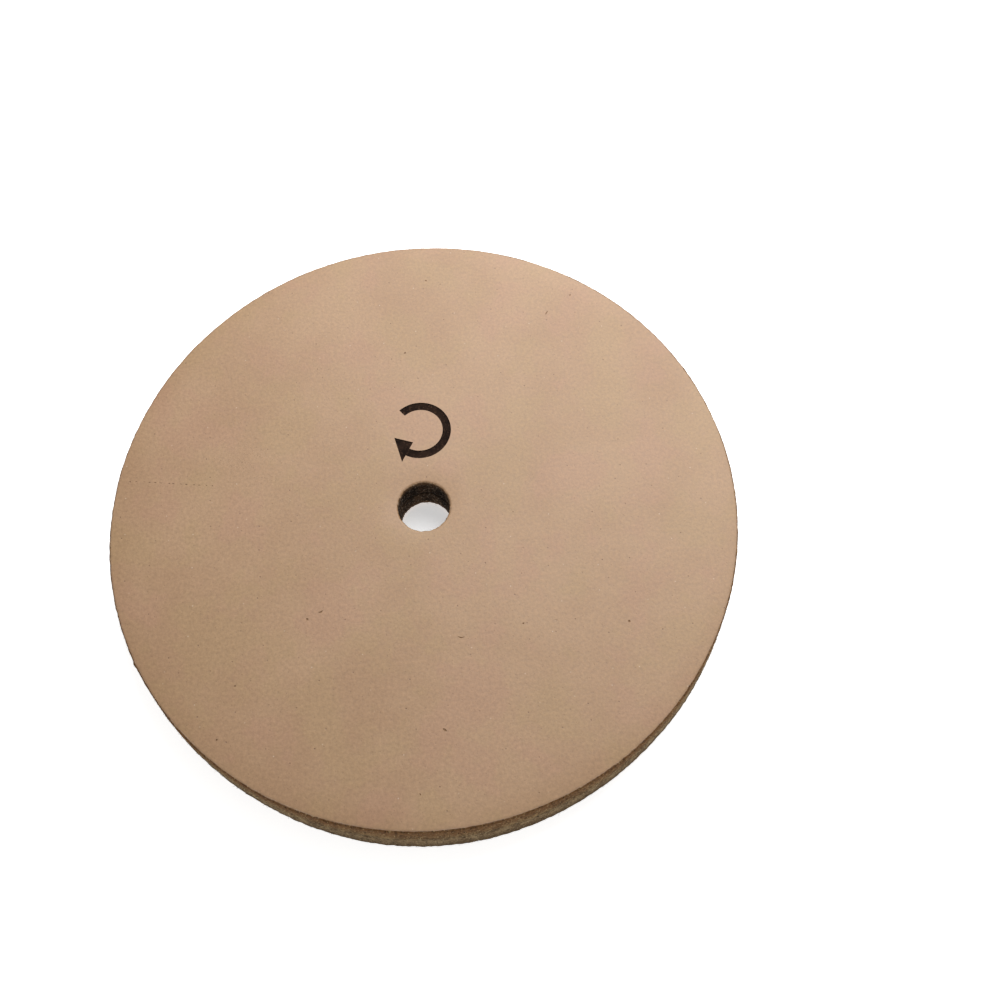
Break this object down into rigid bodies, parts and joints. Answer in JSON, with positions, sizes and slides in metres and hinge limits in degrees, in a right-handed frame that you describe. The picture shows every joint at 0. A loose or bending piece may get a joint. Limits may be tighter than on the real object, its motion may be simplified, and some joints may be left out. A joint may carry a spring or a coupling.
{
  "type": "leather stropping wheel",
  "caption": "Flat round leather wheel with a central arbor bore, laminated from cemented discs, for stropping and honing blades on a bench grinder or polisher.",
  "frame": {"origin": "centre of the wheel's lower face, on the bore's axis", "axes": "+Z along the bore's axis, out of the working face; X and Y lie in the lower face"},
  "size_m": [0.154, 0.154, 0.0127],
  "materials": {
    "grain_leather": "natural vegetable-tanned grain, satin, with a scorched cut edge",
    "contact_cement": "dried contact cement, dull",
    "underside_leather": "natural vegetable-tanned leather, matt, with a scorched cut edge"
  },
  "bodies": {
    "root": {"upper_ply": "grain_leather", "cement_film": "contact_cement", "lower_ply": "underside_leather"}
  },
  "joints": []
}
